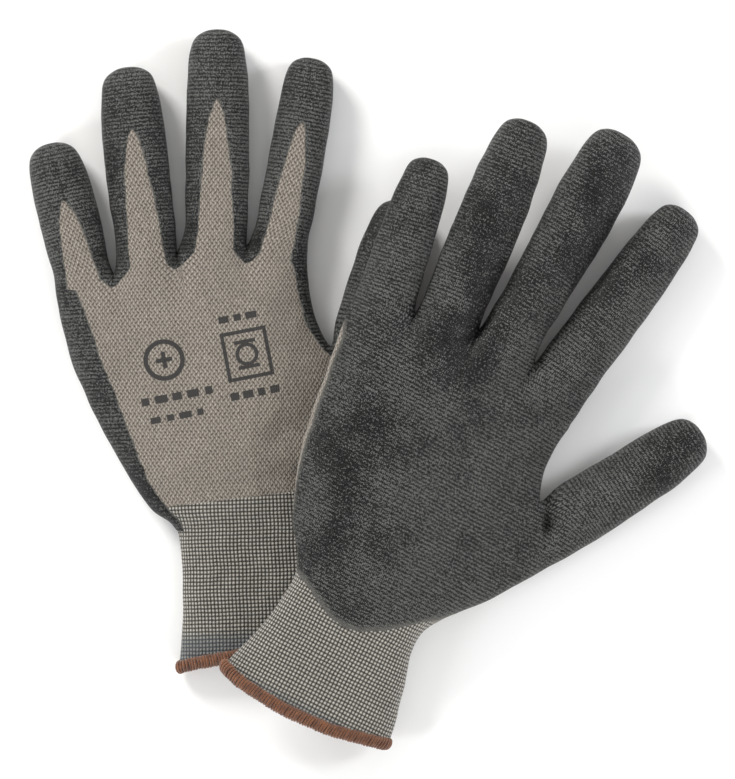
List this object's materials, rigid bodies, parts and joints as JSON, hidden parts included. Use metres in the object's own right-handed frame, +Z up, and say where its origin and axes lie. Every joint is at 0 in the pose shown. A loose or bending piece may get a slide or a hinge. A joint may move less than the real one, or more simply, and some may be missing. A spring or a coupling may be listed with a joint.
{
  "type": "work gloves",
  "caption": "Pair of seamless knit work gloves with dark dipped palms and fingertips, elastic knit cuffs and overlocked hems, laid flat with one glove over the edge of the other.",
  "frame": {"origin": "centre, across the table, of the box round both gloves as they lie, at the height of the table", "axes": "+Z up from the table; +Y towards the fingers of the lower glove; +X towards the upper glove"},
  "size_m": [0.2631, 0.2814, 0.0335],
  "materials": {
    "liner": "fine seamless knit, matte",
    "cuff": "elastic rib knit with small dark holes",
    "coating": "foamed nitrile, grainy, semi-gloss",
    "hem": "fuzzy overlock thread",
    "elastic": "covered elastic thread",
    "print": "heat-transferred print, matte"
  },
  "bodies": {
    "lower_hand": {"lower_liner": "liner", "lower_coating": "coating", "lower_cuff": "cuff", "lower_cuff_elastic": "elastic", "lower_hem": "hem", "lower_size_print": "print"},
    "lower_little_base": {"lower_little_base_liner": "liner", "lower_little_base_coating": "coating"},
    "lower_little_tip": {"lower_little_tip_liner": "liner", "lower_little_tip_coating": "coating"},
    "lower_ring_base": {"lower_ring_base_liner": "liner", "lower_ring_base_coating": "coating"},
    "lower_ring_tip": {"lower_ring_tip_liner": "liner", "lower_ring_tip_coating": "coating"},
    "lower_middle_base": {"lower_middle_base_liner": "liner", "lower_middle_base_coating": "coating"},
    "lower_middle_tip": {"lower_middle_tip_liner": "liner", "lower_middle_tip_coating": "coating"},
    "lower_index_base": {"lower_index_base_liner": "liner", "lower_index_base_coating": "coating"},
    "lower_index_tip": {"lower_index_tip_liner": "liner", "lower_index_tip_coating": "coating"},
    "lower_thumb": {"lower_thumb_liner": "liner", "lower_thumb_coating": "coating"},
    "upper_hand": {"upper_liner": "liner", "upper_coating": "coating", "upper_cuff": "cuff", "upper_cuff_elastic": "elastic", "upper_hem": "hem", "upper_size_print": "print"},
    "upper_little_base": {"upper_little_base_liner": "liner", "upper_little_base_coating": "coating"},
    "upper_little_tip": {"upper_little_tip_liner": "liner", "upper_little_tip_coating": "coating"},
    "upper_ring_base": {"upper_ring_base_liner": "liner", "upper_ring_base_coating": "coating"},
    "upper_ring_tip": {"upper_ring_tip_liner": "liner", "upper_ring_tip_coating": "coating"},
    "upper_middle_base": {"upper_middle_base_liner": "liner", "upper_middle_base_coating": "coating"},
    "upper_middle_tip": {"upper_middle_tip_liner": "liner", "upper_middle_tip_coating": "coating"},
    "upper_index_base": {"upper_index_base_liner": "liner", "upper_index_base_coating": "coating"},
    "upper_index_tip": {"upper_index_tip_liner": "liner", "upper_index_tip_coating": "coating"},
    "upper_thumb_base": {"upper_thumb_base_liner": "liner", "upper_thumb_base_coating": "coating"},
    "upper_thumb_tip": {"upper_thumb_tip_liner": "liner", "upper_thumb_tip_coating": "coating"}
  },
  "joints": [
    {"name": "lower_little_fold", "type": "hinge", "parent": "lower_hand", "child": "lower_little_base", "pos_m": [-0.10914, 0.03895, 0.0145], "axis": [0.9711, 0.2385, 0], "range_deg": [0, 60], "stiffness_Nm_per_rad": 0.01},
    {"name": "lower_little_curl", "type": "hinge", "parent": "lower_little_base", "child": "lower_little_tip", "pos_m": [-0.11624, 0.06784, 0.0147], "axis": [0.9711, 0.2385, 0], "range_deg": [0, 60], "stiffness_Nm_per_rad": 0.005},
    {"name": "lower_ring_fold", "type": "hinge", "parent": "lower_hand", "child": "lower_ring_base", "pos_m": [-0.08403, 0.0473, 0.015], "axis": [0.9947, 0.1028, 0], "range_deg": [0, 60], "stiffness_Nm_per_rad": 0.01},
    {"name": "lower_ring_curl", "type": "hinge", "parent": "lower_ring_base", "child": "lower_ring_tip", "pos_m": [-0.08814, 0.08709, 0.0152], "axis": [0.9947, 0.1028, 0], "range_deg": [0, 60], "stiffness_Nm_per_rad": 0.005},
    {"name": "lower_middle_fold", "type": "hinge", "parent": "lower_hand", "child": "lower_middle_base", "pos_m": [-0.05806, 0.05221, 0.015], "axis": [0.9999, -0.014, 0], "range_deg": [0, 60], "stiffness_Nm_per_rad": 0.01},
    {"name": "lower_middle_curl", "type": "hinge", "parent": "lower_middle_base", "child": "lower_middle_tip", "pos_m": [-0.05743, 0.09691, 0.0152], "axis": [0.9999, -0.014, 0], "range_deg": [0, 60], "stiffness_Nm_per_rad": 0.005},
    {"name": "lower_index_fold", "type": "hinge", "parent": "lower_hand", "child": "lower_index_base", "pos_m": [-0.03496, 0.05055, 0.0145], "axis": [0.9796, -0.2011, 0], "range_deg": [0, 60], "stiffness_Nm_per_rad": 0.01},
    {"name": "lower_index_curl", "type": "hinge", "parent": "lower_index_base", "child": "lower_index_tip", "pos_m": [-0.02676, 0.09052, 0.0147], "axis": [0.9796, -0.2011, 0], "range_deg": [0, 60], "stiffness_Nm_per_rad": 0.005},
    {"name": "lower_thumb_swing", "type": "hinge", "parent": "lower_hand", "child": "lower_thumb", "pos_m": [-0.01309, 0.01834, 0.00635], "axis": [0, 0, 1], "range_deg": [0, 10], "stiffness_Nm_per_rad": 0.005},
    {"name": "upper_lift", "type": "slide", "parent": "lower_hand", "child": "upper_hand", "axis": [0, 0, 1], "range_m": [0, 0.12]},
    {"name": "upper_little_fold", "type": "hinge", "parent": "upper_hand", "child": "upper_little_base", "pos_m": [0.00529, 0.02863, 0.03066], "axis": [0.9563, -0.2924, -0.009], "range_deg": [0, 60], "stiffness_Nm_per_rad": 0.01},
    {"name": "upper_little_curl", "type": "hinge", "parent": "upper_little_base", "child": "upper_little_tip", "pos_m": [0.01473, 0.05952, 0.0309], "axis": [0.9563, -0.2924, -0.006], "range_deg": [0, 60], "stiffness_Nm_per_rad": 0.005},
    {"name": "upper_ring_fold", "type": "hinge", "parent": "upper_hand", "child": "upper_ring_base", "pos_m": [0.02891, 0.02285, 0.03078], "axis": [0.9216, -0.3724, -0.1092], "range_deg": [0, 70], "stiffness_Nm_per_rad": 0.01},
    {"name": "upper_ring_curl", "type": "hinge", "parent": "upper_ring_base", "child": "upper_ring_tip", "pos_m": [0.04557, 0.06411, 0.03138], "axis": [0.9254, -0.3739, -0.062], "range_deg": [0, 60], "stiffness_Nm_per_rad": 0.005},
    {"name": "upper_middle_fold", "type": "hinge", "parent": "upper_hand", "child": "upper_middle_base", "pos_m": [0.0514, 0.01428, 0.0265], "axis": [0.8412, -0.4896, -0.2296], "range_deg": [0, 75], "stiffness_Nm_per_rad": 0.01},
    {"name": "upper_middle_curl", "type": "hinge", "parent": "upper_middle_base", "child": "upper_middle_tip", "pos_m": [0.07605, 0.05663, 0.02625], "axis": [0.841, -0.4895, -0.2306], "range_deg": [0, 60], "stiffness_Nm_per_rad": 0.005},
    {"name": "upper_index_fold", "type": "hinge", "parent": "upper_hand", "child": "upper_index_base", "pos_m": [0.07197, -0.00117, 0.01947], "axis": [0.7757, -0.5909, -0.2216], "range_deg": [0, 75], "stiffness_Nm_per_rad": 0.01},
    {"name": "upper_index_curl", "type": "hinge", "parent": "upper_index_base", "child": "upper_index_tip", "pos_m": [0.09894, 0.03423, 0.01807], "axis": [0.7788, -0.5933, -0.2038], "range_deg": [0, 60], "stiffness_Nm_per_rad": 0.005},
    {"name": "upper_thumb_fold", "type": "hinge", "parent": "upper_hand", "child": "upper_thumb_base", "pos_m": [0.07735, -0.05027, 0.01639], "axis": [0.5356, -0.844, -0.0289], "range_deg": [0, 60], "stiffness_Nm_per_rad": 0.01},
    {"name": "upper_thumb_curl", "type": "hinge", "parent": "upper_thumb_base", "child": "upper_thumb_tip", "pos_m": [0.10395, -0.03339, 0.01633], "axis": [0.5358, -0.8443, -0.007], "range_deg": [0, 60], "stiffness_Nm_per_rad": 0.005}
  ]
}
